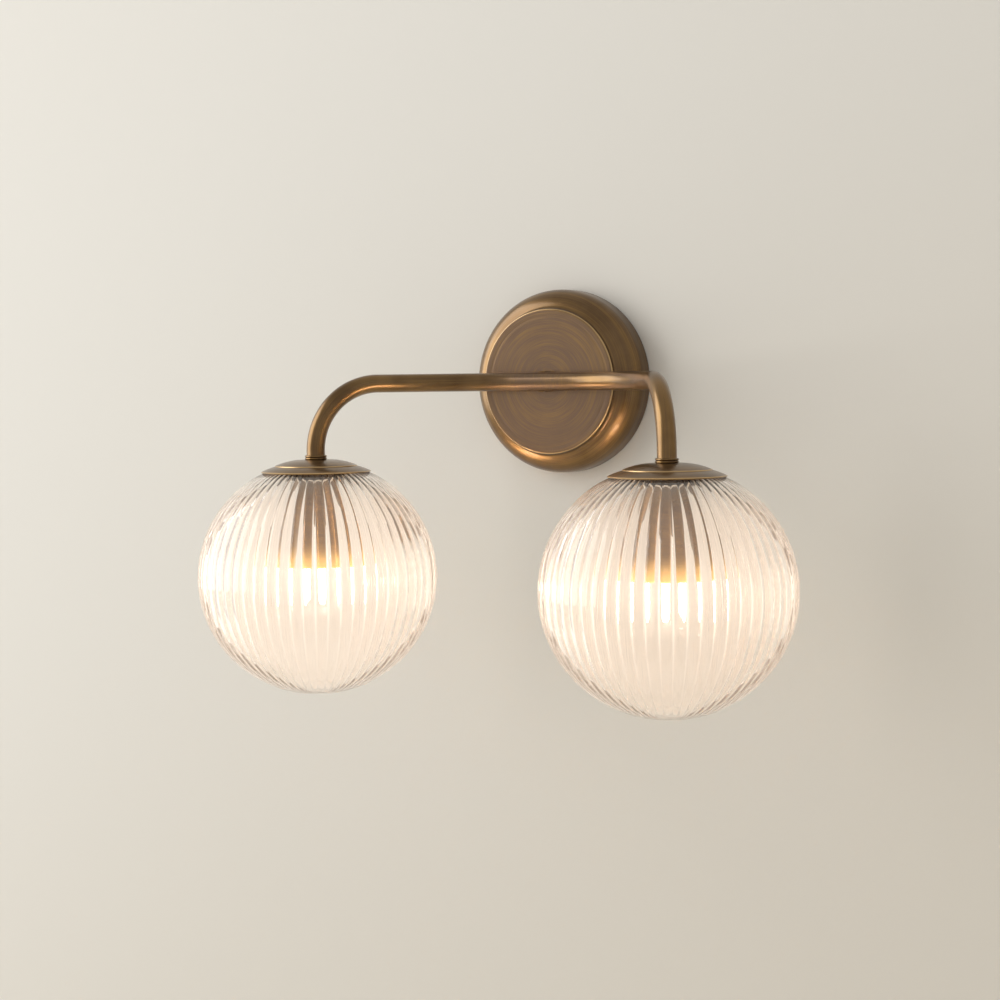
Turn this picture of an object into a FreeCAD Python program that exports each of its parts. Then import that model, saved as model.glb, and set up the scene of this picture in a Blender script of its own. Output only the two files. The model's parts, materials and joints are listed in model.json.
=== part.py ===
"""Double arm wall sconce: a round wall rose, a forward bowed tube and two ribbed glass globes.

Row frame, millimetres: +X right along the wall, +Y into the wall, +Z up.
The origin is the centre of the wall screws, on the wall plane, behind the rose.
"""
import FreeCAD, Part
import math
import os

V = FreeCAD.Vector

# ---------------------------------------------------------------- driving dimensions
# fits and clearances
RUNNING = 0.08          # radial gap of a thread or shaft that turns
SEATED = 0.05           # radial gap of a piece that is fixed in its hole
CLEAR = 0.3             # gap between pieces that pass without touching

# wall rose, a spun cover
ROSE_RADIUS = 58.5
ROSE_DEPTH = 27.0
ROSE_WALL = 1.2
SKIRT_DEPTH = 9.0       # straight part of the side, next to the wall
SHOULDER_RADIUS = 14.0
FACE_RADIUS = 46.0
COVE_RADIUS = 3.0
LIP_RADIUS = 1.0

# bow arm, a bent tube
TUBE_RADIUS = 5.75
TUBE_BORE = 5.0
ARM_STANDOFF = 2.25     # rose face to the back of the tube
ARM_STRAIGHT = 18.0     # half of the straight middle
BOW_RADIUS = 95.0
BOW_ANGLE = 54.0        # how far each side sweeps forward
ARM_REACH = 2.7         # straight run between the bow and the drop bend
DROP_RADIUS = 42.0
DROP_STRAIGHT = 2.3     # straight end of the tube below the drop bend

# boss and hollow thread that join the arm to the rose
BOSS_RADIUS = 6.5
STEM_RADIUS = 4.95
STEM_BORE = 4.0
STEM_LENGTH = 12.8
WASHER_RADIUS = 9.0
WASHER_THICKNESS = 1.0
STEM_NUT_FLATS = 14.0
STEM_NUT_HEIGHT = 3.0

# wall bracket, a bent steel strap
STRAP_WIDTH = 20.0
STRAP_THICKNESS = 1.5
EAR_LENGTH = 12.0
EAR_WIDTH = 14.0
STRAP_BEND = 1.0        # inside radius
SLOT_PITCH = 70.0
SLOT_LENGTH = 12.0
SLOT_RADIUS = 2.3
CABLE_HOLE_RADIUS = 7.0

# rose screws, one above and one below
ROSE_SCREW_RADIUS = 1.5
ROSE_SCREW_LENGTH = 7.0
ROSE_SCREW_DEPTH = 7.0  # from the wall

# earth terminal and cable connector on the bracket
EARTH_HEIGHT = 20.0
EARTH_SHANK_RADIUS = 2.0
EARTH_HEAD_RADIUS = 3.6
EARTH_HEAD_HEIGHT = 2.2
EARTH_WASHER_RADIUS = 4.4
EARTH_WASHER_THICKNESS = 0.8
BLOCK_DROP = 19.0       # connector centre below the middle
BLOCK_DEPTH = 10.0
BLOCK_BARREL_RADIUS = 3.6
BLOCK_PITCH = 8.4
BLOCK_WEB = 4.0
PORT_RADIUS = 1.9
CLAMP_RADIUS = 1.25
CLAMP_LENGTH = 3.2

# collar under each tube end
COLLAR_RADIUS = 7.0
COLLAR_HEIGHT = 2.8
COLLAR_GROOVE = 0.8
SPIGOT_LENGTH = 4.3

# hollow thread that carries cap, cup and lampholder
NIPPLE_RADIUS = 4.0
NIPPLE_BORE = 2.8
NIPPLE_LENGTH = 33.0
NIPPLE_NUT_FLATS = 12.0
NIPPLE_NUT_HEIGHT = 3.0

# spun cap over each globe
CAP_SHEET = 0.8
CAP_FLAT_RADIUS = 8.0
CAP_LEDGE_RADIUS = 25.7
CAP_RADIUS = 34.4
CAP_DOME_FALL = 3.7
CAP_STEP = 0.5
CAP_BRIM_FALL = 3.2
CAP_BRIM_CURVE = 45.0

# deep cup that hides the lampholder
CUP_RADIUS = 14.0
CUP_WALL = 1.0
CUP_LENGTH = 67.1

# ribbed glass globe
GLOBE_RADIUS = 75.0
GLOBE_HALF_HEIGHT = 73.6
GLOBE_CENTRE_DROP = 73.9    # globe centre below the top of the cap
GLASS_WALL = 3.0
RIB_COUNT = 60
RIB_DEPTH = 1.2
NECK_RADIUS = 17.3
NECK_LAND = 1.3             # flat rim of glass round the neck hole
NECK_SINK = 2.8             # how far the glass is flattened under the cap
SHOULDER_REACH = 44.0       # radius where the flattening starts
BASE_RADIUS = 14.5          # flat spot under the globe
GLOBE_RINGS = 14
LINER_SIDES = 26
LINER_RINGS = 10

# threaded ring rolled onto the glass neck
RING_HEIGHT = 8.4
RING_WALL_CLEAR = 0.2
RING_FLANGE = 1.9
RING_SHEET = 0.8
GASKET_THICKNESS = 1.2

# ceramic lampholder and push-in lamp
HOLDER_RADIUS = 10.0
HOLDER_HEIGHT = 22.0
HOLDER_SOCKET = 4.0
PIN_RADIUS = 0.5
PIN_SPREAD = 9.0
PIN_LENGTH = 6.5
PIN_HOLE_RADIUS = 1.2
PIN_HOLE_DEPTH = 9.0
LAMP_BASE_RADIUS = 7.6
LAMP_BASE_HEIGHT = 12.0
BULB_RADIUS = 8.0
BULB_LENGTH = 34.0

# two-core leads from the connector to the lampholders
LEAD_RADIUS = 1.5
LEAD_BEND = 3.0
LEAD_SPREAD = 1.75
LEAD_BEHIND = 14.5      # how far off the wall the leads cross the rose

# ---------------------------------------------------------------- places worked out from them
ARM_DEPTH = ROSE_DEPTH + ARM_STANDOFF + TUBE_RADIUS
BOW_SETBACK = BOW_RADIUS * math.tan(math.radians(BOW_ANGLE / 2))
BOW_CORNER_X = ARM_STRAIGHT + BOW_SETBACK
SWEEP = BOW_SETBACK + ARM_REACH + DROP_RADIUS
DROP_X = BOW_CORNER_X + SWEEP * math.cos(math.radians(BOW_ANGLE))
DROP_Y = -ARM_DEPTH - SWEEP * math.sin(math.radians(BOW_ANGLE))

TUBE_END_Z = -DROP_RADIUS - DROP_STRAIGHT
CAP_TOP_Z = TUBE_END_Z - COLLAR_HEIGHT
CUP_TOP_Z = CAP_TOP_Z - CAP_SHEET
CUP_FLOOR_Z = CUP_TOP_Z - CUP_WALL
CUP_MOUTH_Z = CUP_TOP_Z - CUP_LENGTH
CUP_CORNER = CUP_RADIUS - CAP_FLAT_RADIUS      # the cup falls away where the cap's dome does
NIPPLE_TOP_Z = TUBE_END_Z + SPIGOT_LENGTH - 1.0
NIPPLE_END_Z = NIPPLE_TOP_Z - NIPPLE_LENGTH
HOLDER_TOP_Z = NIPPLE_END_Z + HOLDER_SOCKET - CLEAR
HOLDER_FACE_Z = HOLDER_TOP_Z - HOLDER_HEIGHT
LAMP_TOP_Z = HOLDER_FACE_Z - CLEAR
BULB_TOP_Z = LAMP_TOP_Z - LAMP_BASE_HEIGHT
GLOBE_Z = CAP_TOP_Z - GLOBE_CENTRE_DROP
FACE_INSIDE = ROSE_DEPTH - ROSE_WALL
EAR_OUTER = math.sqrt((ROSE_RADIUS - ROSE_WALL - CLEAR) ** 2 - (EAR_WIDTH / 2) ** 2)
BLOCK_FRONT = STRAP_THICKNESS + BLOCK_DEPTH


# ---------------------------------------------------------------- drawing helpers
class Outline:
    """A closed outline in the (radius, height) plane, drawn edge by edge."""

    def __init__(self, radius, height):
        self.start = self.here = V(radius, 0, height)
        self.edges = []

    def line(self, radius, height):
        end = V(radius, 0, height)
        if end.distanceToPoint(self.here) > 1e-6:
            self.edges.append(Part.makeLine(self.here, end))
        self.here = end
        return self

    def arc(self, centre, radius, first_deg, last_deg):
        """An arc about centre, joined to the outline by a line where it doesn't start on it."""
        points = []
        for angle in (first_deg, (first_deg + last_deg) / 2, last_deg):
            turn = math.radians(angle)
            points.append(V(centre[0] + radius * math.cos(turn), 0, centre[1] + radius * math.sin(turn)))
        self.line(points[0].x, points[0].z)
        self.edges.append(Part.Arc(self.here, points[1], points[2]).toShape())
        self.here = points[2]
        return self

    def face(self):
        self.line(self.start.x, self.start.z)
        return Part.Face(Part.Wire(self.edges))

    def revolved(self):
        return self.face().revolve(V(), V(0, 0, 1), 360)


def arc_between(first, last, radius):
    """Centre and the two angles of an arc that bulges up and outward from first to last."""
    half = math.hypot(last[0] - first[0], last[1] - first[1]) / 2
    along = math.atan2(last[1] - first[1], last[0] - first[0])
    rise = math.sqrt(radius ** 2 - half ** 2)
    centre = ((first[0] + last[0]) / 2 + rise * math.sin(along),
              (first[1] + last[1]) / 2 - rise * math.cos(along))
    angles = [math.degrees(math.atan2(p[1] - centre[1], p[0] - centre[0])) for p in (first, last)]
    return centre, angles[0], angles[1]


def ring(outer, inner, top, height):
    """A plain ring about Z, from top downwards."""
    base = V(0, 0, top - height)
    return Part.makeCylinder(outer, height, base).cut(Part.makeCylinder(inner, height, base))


def rod(radius, length, start, direction):
    return Part.makeCylinder(radius, length, start, direction)


def hex_nut(flats, bore, top, height):
    corner = flats / 2 / math.cos(math.pi / 6)
    points = [V(corner * math.cos(k * math.pi / 3), corner * math.sin(k * math.pi / 3), top - height)
              for k in range(7)]
    prism = Part.Face(Part.makePolygon(points)).extrude(V(0, 0, height))
    return prism.cut(Part.makeCylinder(bore, height, V(0, 0, top - height)))


def rounded_path(points, radii, closed=False):
    """Straight runs through the points, with a tangent arc of the given radius at each corner."""
    count = len(points)
    corners = range(count) if closed else range(1, count - 1)
    cuts = {}
    for place, radius in zip(corners, radii):
        here = points[place]
        back = (points[place - 1] - here).normalize()
        ahead = (points[(place + 1) % count] - here).normalize()
        half = back.getAngle(ahead) / 2
        if radius == 0:
            cuts[place] = None
            continue
        tangent = radius / math.tan(half)
        centre = here + (back + ahead).normalize() * (radius / math.sin(half))
        middle = centre + (here - centre).normalize() * radius
        cuts[place] = (here + back * tangent, middle, here + ahead * tangent)
    edges = []
    for place in range(count if closed else count - 1):
        after = (place + 1) % count
        begin = cuts[place][2] if cuts.get(place) else points[place]
        end = cuts[after][0] if cuts.get(after) else points[after]
        if begin.distanceToPoint(end) > 1e-6:
            edges.append(Part.makeLine(begin, end))
        if cuts.get(after):
            edges.append(Part.Arc(*cuts[after]).toShape())
    return Part.Wire(edges)


def tube_along(path, radius):
    """A round bar swept along a path."""
    start = path.Edges[0].valueAt(path.Edges[0].FirstParameter)
    heading = path.Edges[0].tangentAt(path.Edges[0].FirstParameter)
    section = Part.Wire(Part.makeCircle(radius, start, heading))
    return path.makePipeShell([section], True, False)


def facing_front(shape):
    """Turn a shape drawn about +Z so that its +Z points away from the wall."""
    return shape.rotate(V(), V(1, 0, 0), 90)


def on_drop(shape, side):
    """Move a shape drawn about Z to the axis of the left (-1) or right (+1) globe."""
    return shape.translate(V(side * DROP_X, DROP_Y, 0))


# ---------------------------------------------------------------- wall side
def wall_bracket():
    half = EAR_OUTER
    inside = half - STRAP_THICKNESS
    front = -STRAP_THICKNESS
    outer_bend = STRAP_BEND + STRAP_THICKNESS
    section = rounded_path(
        [V(0, -EAR_LENGTH, half), V(0, 0, half), V(0, 0, -half), V(0, -EAR_LENGTH, -half),
         V(0, -EAR_LENGTH, -inside), V(0, front, -inside), V(0, front, inside), V(0, -EAR_LENGTH, inside)],
        [0, outer_bend, outer_bend, 0, 0, STRAP_BEND, STRAP_BEND, 0], closed=True)
    strap = Part.Face(section).extrude(V(STRAP_WIDTH, 0, 0)).translate(V(-STRAP_WIDTH / 2, 0, 0))
    shoulder = (STRAP_WIDTH - EAR_WIDTH) / 2
    ear_slot = 2 * (ROSE_SCREW_RADIUS + CLEAR)
    for end in (-1, 1):
        for edge in (-1, 1):
            notch = Part.makeBox(2 * shoulder, 3 * EAR_LENGTH, 2 * outer_bend)
            notch.translate(V(edge * STRAP_WIDTH / 2 - shoulder, -2 * EAR_LENGTH, end * half - outer_bend))
            strap = strap.cut(notch)
        mouth = Part.makeBox(ear_slot, EAR_LENGTH, 2 * outer_bend)
        mouth.translate(V(-ear_slot / 2, -ROSE_SCREW_DEPTH - EAR_LENGTH, end * half - outer_bend))
        seat = rod(ear_slot / 2, 2 * outer_bend, V(0, -ROSE_SCREW_DEPTH, end * half - outer_bend), V(0, 0, 1))
        strap = strap.cut(mouth).cut(seat)
        reach = SLOT_LENGTH / 2 - SLOT_RADIUS
        for step in (-reach, reach):
            hole = rod(SLOT_RADIUS, STRAP_THICKNESS, V(0, front, end * SLOT_PITCH / 2 + step), V(0, 1, 0))
            strap = strap.cut(hole)
        middle = Part.makeBox(2 * SLOT_RADIUS, STRAP_THICKNESS, 2 * reach)
        strap = strap.cut(middle.translate(V(-SLOT_RADIUS, front, end * SLOT_PITCH / 2 - reach)))
    strap = strap.cut(rod(CABLE_HOLE_RADIUS, STRAP_THICKNESS, V(0, front, 0), V(0, 1, 0)))
    earth_hole = rod(EARTH_SHANK_RADIUS + SEATED, STRAP_THICKNESS, V(0, front, EARTH_HEIGHT), V(0, 1, 0))
    return strap.cut(earth_hole)


def earth_washer():
    washer = ring(EARTH_WASHER_RADIUS, EARTH_SHANK_RADIUS + SEATED,
                  STRAP_THICKNESS + EARTH_WASHER_THICKNESS, EARTH_WASHER_THICKNESS)
    return facing_front(washer).translate(V(0, 0, EARTH_HEIGHT))


def earth_screw():
    seat = STRAP_THICKNESS + EARTH_WASHER_THICKNESS
    top = seat + EARTH_HEAD_HEIGHT
    dome = EARTH_HEAD_HEIGHT / 2
    outline = Outline(0, top).line(EARTH_HEAD_RADIUS - dome, top)
    outline.arc((EARTH_HEAD_RADIUS - dome, top - dome), dome, 90, 0).line(EARTH_HEAD_RADIUS, seat)
    outline.line(EARTH_SHANK_RADIUS, seat).line(EARTH_SHANK_RADIUS, CLEAR).line(0, CLEAR)
    screw = outline.revolved()
    slot = Part.makeBox(2 * EARTH_HEAD_RADIUS, 0.8, EARTH_HEAD_HEIGHT / 2)
    screw = screw.cut(slot.translate(V(-EARTH_HEAD_RADIUS, -0.4, top - EARTH_HEAD_HEIGHT / 2)))
    return facing_front(screw).translate(V(0, 0, EARTH_HEIGHT))


def clamp_places():
    """Where the connector's screws stand: one over each lead and one over each supply core."""
    for pole in (-1, 1):
        for share in (0.3, 0.75):
            yield pole * BLOCK_PITCH / 2, -STRAP_THICKNESS - share * BLOCK_DEPTH


def terminal_block():
    centre = V(0, -STRAP_THICKNESS, -BLOCK_DROP)
    block = Part.makeBox(BLOCK_PITCH, BLOCK_DEPTH, BLOCK_WEB)
    block.translate(V(-BLOCK_PITCH / 2, -BLOCK_FRONT, -BLOCK_DROP - BLOCK_WEB / 2))
    for pole in (-1, 1):
        axis = centre + V(pole * BLOCK_PITCH / 2, 0, 0)
        block = block.fuse(rod(BLOCK_BARREL_RADIUS, BLOCK_DEPTH, axis, V(0, -1, 0)))
    for pole in (-1, 1):
        mouth = V(pole * BLOCK_PITCH / 2, -BLOCK_FRONT, -BLOCK_DROP)
        block = block.cut(rod(PORT_RADIUS, BLOCK_DEPTH / 2 + 1, mouth, V(0, 1, 0)))
        supply = V(mouth.x, -STRAP_THICKNESS - 0.3 * BLOCK_DEPTH, -BLOCK_DROP)
        block = block.cut(rod(PORT_RADIUS, BLOCK_BARREL_RADIUS, supply, V(0, 0, -1)))
    for x, y in clamp_places():
        block = block.cut(rod(CLAMP_RADIUS + SEATED, BLOCK_BARREL_RADIUS + 1, V(x, y, -BLOCK_DROP), V(0, 0, 1)))
    return block.removeSplitter()


def terminal_screws():
    base = -BLOCK_DROP + PORT_RADIUS - CLAMP_RADIUS + 1.0
    return Part.makeCompound([rod(CLAMP_RADIUS, CLAMP_LENGTH, V(x, y, base), V(0, 0, 1))
                              for x, y in clamp_places()])


# ---------------------------------------------------------------- rose and arm
def wall_rose():
    """Flat brushed face with a small lip, a cove, a round shoulder and a straight skirt."""
    shoulder = (ROSE_RADIUS - SHOULDER_RADIUS, SKIRT_DEPTH)
    cove_radius = FACE_RADIUS + COVE_RADIUS
    rise = math.sqrt((SHOULDER_RADIUS + COVE_RADIUS) ** 2 - (cove_radius - shoulder[0]) ** 2)
    cove = (cove_radius, SKIRT_DEPTH + rise)
    turn = math.degrees(math.atan2(rise, cove_radius - shoulder[0]))
    hole = STEM_RADIUS + SEATED
    outline = Outline(hole, ROSE_DEPTH)
    outline.arc((FACE_RADIUS - LIP_RADIUS, ROSE_DEPTH - LIP_RADIUS), LIP_RADIUS, 90, 0)
    outline.arc(cove, COVE_RADIUS, 180, 180 + turn)
    outline.arc(shoulder, SHOULDER_RADIUS, turn, 0)
    outline.line(ROSE_RADIUS, 0).line(ROSE_RADIUS - ROSE_WALL, 0)
    outline.arc(shoulder, SHOULDER_RADIUS - ROSE_WALL, 0, turn)
    outline.arc(cove, COVE_RADIUS + ROSE_WALL, 180 + turn, 180)
    outline.line(FACE_RADIUS - ROSE_WALL, FACE_INSIDE).line(hole, FACE_INSIDE)
    rose = facing_front(outline.revolved())
    for end in (-1, 1):
        start = V(0, -ROSE_SCREW_DEPTH, end * (ROSE_RADIUS - 2 * ROSE_WALL))
        rose = rose.cut(rod(ROSE_SCREW_RADIUS + SEATED, 3 * ROSE_WALL, start, V(0, 0, end)))
    return rose


def rose_screws():
    screws = []
    for end in (-1, 1):
        outside = V(0, -ROSE_SCREW_DEPTH, end * (ROSE_RADIUS - CLEAR))
        screw = rod(ROSE_SCREW_RADIUS, ROSE_SCREW_LENGTH, outside, V(0, 0, -end))
        slot = Part.makeBox(2 * ROSE_SCREW_RADIUS, 0.6, 1.6)
        slot.translate(outside + V(-ROSE_SCREW_RADIUS, -0.3, -0.8))
        screws.append(screw.cut(slot))
    return Part.makeCompound(screws)


def arm_corners():
    """Corners of the tube's centreline, from the left end to the right end, and their bends."""
    right = [V(BOW_CORNER_X, -ARM_DEPTH, 0), V(DROP_X, DROP_Y, 0), V(DROP_X, DROP_Y, TUBE_END_Z)]
    left = [V(-p.x, p.y, p.z) for p in reversed(right)]
    return left + right, [DROP_RADIUS, BOW_RADIUS, BOW_RADIUS, DROP_RADIUS]


def bow_arm():
    path = rounded_path(*arm_corners())
    arm = tube_along(path, TUBE_RADIUS).cut(tube_along(path, TUBE_BORE))
    return arm.cut(rod(STEM_RADIUS + SEATED, TUBE_RADIUS, V(0, -ARM_DEPTH, 0), V(0, 1, 0)))


def arm_boss():
    """Short distance piece with a saddle for the tube."""
    length = ARM_STANDOFF + TUBE_RADIUS
    boss = rod(BOSS_RADIUS, length, V(0, -ROSE_DEPTH, 0), V(0, -1, 0))
    boss = boss.cut(rod(STEM_RADIUS + SEATED, length, V(0, -ROSE_DEPTH, 0), V(0, -1, 0)))
    saddle = rod(TUBE_RADIUS, 4 * BOSS_RADIUS, V(-2 * BOSS_RADIUS, -ARM_DEPTH, 0), V(1, 0, 0))
    return boss.cut(saddle)


def rose_stem():
    front = ARM_DEPTH - TUBE_BORE
    stem = ring(STEM_RADIUS, STEM_BORE, front, STEM_LENGTH)
    return facing_front(stem)


def stem_washer():
    return facing_front(ring(WASHER_RADIUS, STEM_RADIUS + SEATED, FACE_INSIDE, WASHER_THICKNESS))


def stem_nut():
    top = FACE_INSIDE - WASHER_THICKNESS
    return facing_front(hex_nut(STEM_NUT_FLATS, STEM_RADIUS + SEATED, top, STEM_NUT_HEIGHT))


# ---------------------------------------------------------------- each side
def collar():
    """Turned collar with two beads and a spigot that is brazed into the tube end."""
    bead = COLLAR_HEIGHT / 4
    bore = NIPPLE_RADIUS + SEATED
    outline = Outline(bore, TUBE_END_Z + SPIGOT_LENGTH)
    outline.line(TUBE_BORE - 2 * SEATED, TUBE_END_Z + SPIGOT_LENGTH)
    outline.line(TUBE_BORE - 2 * SEATED, TUBE_END_Z)
    for level in (TUBE_END_Z - bead, TUBE_END_Z - 3 * bead):
        outline.arc((COLLAR_RADIUS - COLLAR_GROOVE, level), bead, 90, -90)
    outline.line(bore, CAP_TOP_Z)
    return outline.revolved()


def nipple():
    return ring(NIPPLE_RADIUS, NIPPLE_BORE, NIPPLE_TOP_Z, NIPPLE_LENGTH)


def cap():
    """Shallow dome, a crisp ledge, then a brim that turns down over the glass."""
    hole = NIPPLE_RADIUS + SEATED
    dome_run = CAP_LEDGE_RADIUS - CAP_FLAT_RADIUS
    dome_radius = (dome_run ** 2 + CAP_DOME_FALL ** 2) / (2 * CAP_DOME_FALL)
    dome = (CAP_FLAT_RADIUS, CAP_TOP_Z - dome_radius)
    dome_end = 90 - math.degrees(math.asin(dome_run / dome_radius))
    ledge_z = CAP_TOP_Z - CAP_DOME_FALL - CAP_STEP
    brim_start = (CAP_LEDGE_RADIUS + CAP_STEP / 2, ledge_z)
    brim_end = (CAP_RADIUS, ledge_z - CAP_BRIM_FALL)
    brim, first, last = arc_between(brim_start, brim_end, CAP_BRIM_CURVE)
    outline = Outline(hole, CAP_TOP_Z)
    outline.arc(dome, dome_radius, 90, dome_end)
    outline.arc(brim, CAP_BRIM_CURVE, first, last)
    outline.arc(brim, CAP_BRIM_CURVE - CAP_SHEET, last, first)
    outline.arc(dome, dome_radius - CAP_SHEET, dome_end, 90)
    return outline.line(hole, CUP_TOP_Z).revolved()


def cup():
    """Deep drawn cup, open below, with a rounded top edge."""
    hole = NIPPLE_RADIUS + SEATED
    corner = (CUP_RADIUS - CUP_CORNER, CUP_TOP_Z - CUP_CORNER)
    outline = Outline(hole, CUP_TOP_Z)
    outline.arc(corner, CUP_CORNER, 90, 0)
    outline.line(CUP_RADIUS, CUP_MOUTH_Z).line(CUP_RADIUS - CUP_WALL, CUP_MOUTH_Z)
    outline.arc(corner, CUP_CORNER - CUP_WALL, 0, 90)
    return outline.line(hole, CUP_FLOOR_Z).revolved()


def cap_nut():
    return hex_nut(NIPPLE_NUT_FLATS, NIPPLE_RADIUS + SEATED, CUP_FLOOR_Z, NIPPLE_NUT_HEIGHT)


def lampholder():
    """Ceramic body with a threaded socket above and two pin holes below."""
    socket_floor = HOLDER_TOP_Z - HOLDER_SOCKET
    chamfer = 1.0
    outline = Outline(0, socket_floor).line(NIPPLE_RADIUS + SEATED, socket_floor)
    outline.line(NIPPLE_RADIUS + SEATED, HOLDER_TOP_Z).line(HOLDER_RADIUS - 3 * chamfer, HOLDER_TOP_Z)
    outline.line(HOLDER_RADIUS, HOLDER_TOP_Z - 3 * chamfer).line(HOLDER_RADIUS, HOLDER_FACE_Z + chamfer)
    outline.line(HOLDER_RADIUS - chamfer, HOLDER_FACE_Z).line(0, HOLDER_FACE_Z)
    body = outline.revolved()
    for x in (-PIN_SPREAD / 2, PIN_SPREAD / 2):
        body = body.cut(rod(PIN_HOLE_RADIUS, PIN_HOLE_DEPTH, V(x, 0, HOLDER_FACE_Z), V(0, 0, 1)))
    return body


def lamp_base():
    """Round base with two flats."""
    base = rod(LAMP_BASE_RADIUS, LAMP_BASE_HEIGHT, V(0, 0, LAMP_TOP_Z), V(0, 0, -1))
    depth = 0.8 * LAMP_BASE_RADIUS
    keep = Part.makeBox(2 * LAMP_BASE_RADIUS, 2 * depth, LAMP_BASE_HEIGHT)
    return base.common(keep.translate(V(-LAMP_BASE_RADIUS, -depth, BULB_TOP_Z)))


def lamp_pins():
    pins = []
    for x in (-PIN_SPREAD / 2, PIN_SPREAD / 2):
        tip = LAMP_TOP_Z + PIN_LENGTH
        outline = Outline(0, LAMP_TOP_Z).line(PIN_RADIUS, LAMP_TOP_Z)
        outline.arc((0, tip - PIN_RADIUS), PIN_RADIUS, 0, 90)
        pins.append(outline.revolved().translate(V(x, 0, 0)))
    return Part.makeCompound(pins)


def lamp_bulb():
    """Capsule with a round end."""
    end = BULB_TOP_Z - BULB_LENGTH + BULB_RADIUS
    outline = Outline(0, BULB_TOP_Z).line(BULB_RADIUS, BULB_TOP_Z)
    outline.arc((0, end), BULB_RADIUS, 0, -90)
    return outline.revolved()


# ---------------------------------------------------------------- globe
def globe_height(radius, half_width, half_height, upper):
    """Height over the globe centre of the glass at a radius, flattened under the cap."""
    height = half_height * math.sqrt(1 - (radius / half_width) ** 2)
    if not upper:
        return -height
    reach = max(0.0, SHOULDER_REACH - radius) / (SHOULDER_REACH - NECK_RADIUS)
    return height - NECK_SINK * reach ** 2


def meridian(inset, first_radius, rings):
    """Radius and height of rings from the neck down to the flat base, evenly turned."""
    half_width = GLOBE_RADIUS - inset
    half_height = GLOBE_HALF_HEIGHT - inset
    first = math.asin(first_radius / half_width)
    last = math.pi - math.asin(BASE_RADIUS / half_width)
    for step in range(rings + 1):
        turn = first + (last - first) * step / rings
        radius = half_width * math.sin(turn)
        yield radius, GLOBE_Z + globe_height(radius, half_width, half_height, math.cos(turn) > 0)


def polygon_ring(radius, height, sides, dip):
    """A closed polygon about Z whose odd corners lie nearer the axis by the share dip."""
    points = []
    for place in range(sides + 1):
        reach = radius * (1 - dip * (place % 2))
        angle = 2 * math.pi * (place % sides) / sides
        points.append(V(reach * math.cos(angle), reach * math.sin(angle), height))
    return Part.makePolygon(points)


def globe():
    """Ribbed globe: every rib has a ridge and a valley that run from the neck to the base.

    Ridge and valley lie at the same heights, in one proportion of radius, so that each panel
    between them is flat and the ribs die away towards the poles as in pressed glass.
    """
    dip = RIB_DEPTH / GLOBE_RADIUS
    outside = [polygon_ring(r, z, 2 * RIB_COUNT, dip)
               for r, z in meridian(0, NECK_RADIUS + NECK_LAND, GLOBE_RINGS)]
    hollow = [polygon_ring(NECK_RADIUS, neck_rim_z() + 1, LINER_SIDES, 0)]
    hollow += [polygon_ring(r, z, LINER_SIDES, 0) for r, z in meridian(GLASS_WALL, NECK_RADIUS, LINER_RINGS)]
    return Part.makeLoft(outside, True, True).cut(Part.makeLoft(hollow, True, True))


def neck_rim_z():
    radius = NECK_RADIUS + NECK_LAND
    return GLOBE_Z + globe_height(radius, GLOBE_RADIUS, GLOBE_HALF_HEIGHT, True)


def neck_inner_z():
    return GLOBE_Z + globe_height(NECK_RADIUS, GLOBE_RADIUS - GLASS_WALL, GLOBE_HALF_HEIGHT - GLASS_WALL, True)


def neck_ring():
    """Threaded ring whose flange lies on the glass rim and whose lower lip grips from inside."""
    bore = CUP_RADIUS + RUNNING
    barrel = NECK_RADIUS * math.cos(math.pi / LINER_SIDES) - RING_WALL_CLEAR
    rim = neck_rim_z()
    top = rim + RING_SHEET
    lip = neck_inner_z() - CLEAR - RING_SHEET
    outline = Outline(bore, top).line(barrel + RING_FLANGE, top).line(barrel + RING_FLANGE, rim)
    outline.line(barrel, rim).line(barrel, lip + RING_SHEET / 2)
    outline.line(barrel + RING_SHEET, lip).line(barrel + RING_SHEET, lip - RING_SHEET)
    outline.line(barrel, lip - 1.5 * RING_SHEET).line(barrel, top - RING_HEIGHT)
    return outline.line(bore, top - RING_HEIGHT).revolved()


def neck_gasket():
    flange_top = neck_rim_z() + RING_SHEET
    barrel = NECK_RADIUS * math.cos(math.pi / LINER_SIDES) - RING_WALL_CLEAR
    return ring(barrel + RING_FLANGE, CUP_RADIUS + CLEAR, flange_top + GASKET_THICKNESS, GASKET_THICKNESS)


# ---------------------------------------------------------------- leads
def lead(side):
    """Two-core lead: connector, through the stem, along the arm, down to the lampholder."""
    port = V(side * BLOCK_PITCH / 2, -BLOCK_FRONT + BLOCK_DEPTH / 2, -BLOCK_DROP)
    points = [port,
              V(port.x, -LEAD_BEHIND, -BLOCK_DROP),
              V(side * LEAD_SPREAD, -LEAD_BEHIND, 0),
              V(side * LEAD_SPREAD, -ARM_DEPTH, 0),
              V(side * BOW_CORNER_X, -ARM_DEPTH, 0),
              V(side * DROP_X, DROP_Y, 0),
              V(side * DROP_X, DROP_Y, HOLDER_TOP_Z - HOLDER_SOCKET)]
    bends = [LEAD_BEND, LEAD_BEND, LEAD_BEND, BOW_RADIUS, DROP_RADIUS]
    return tube_along(rounded_path(points, bends), LEAD_RADIUS)


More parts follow.
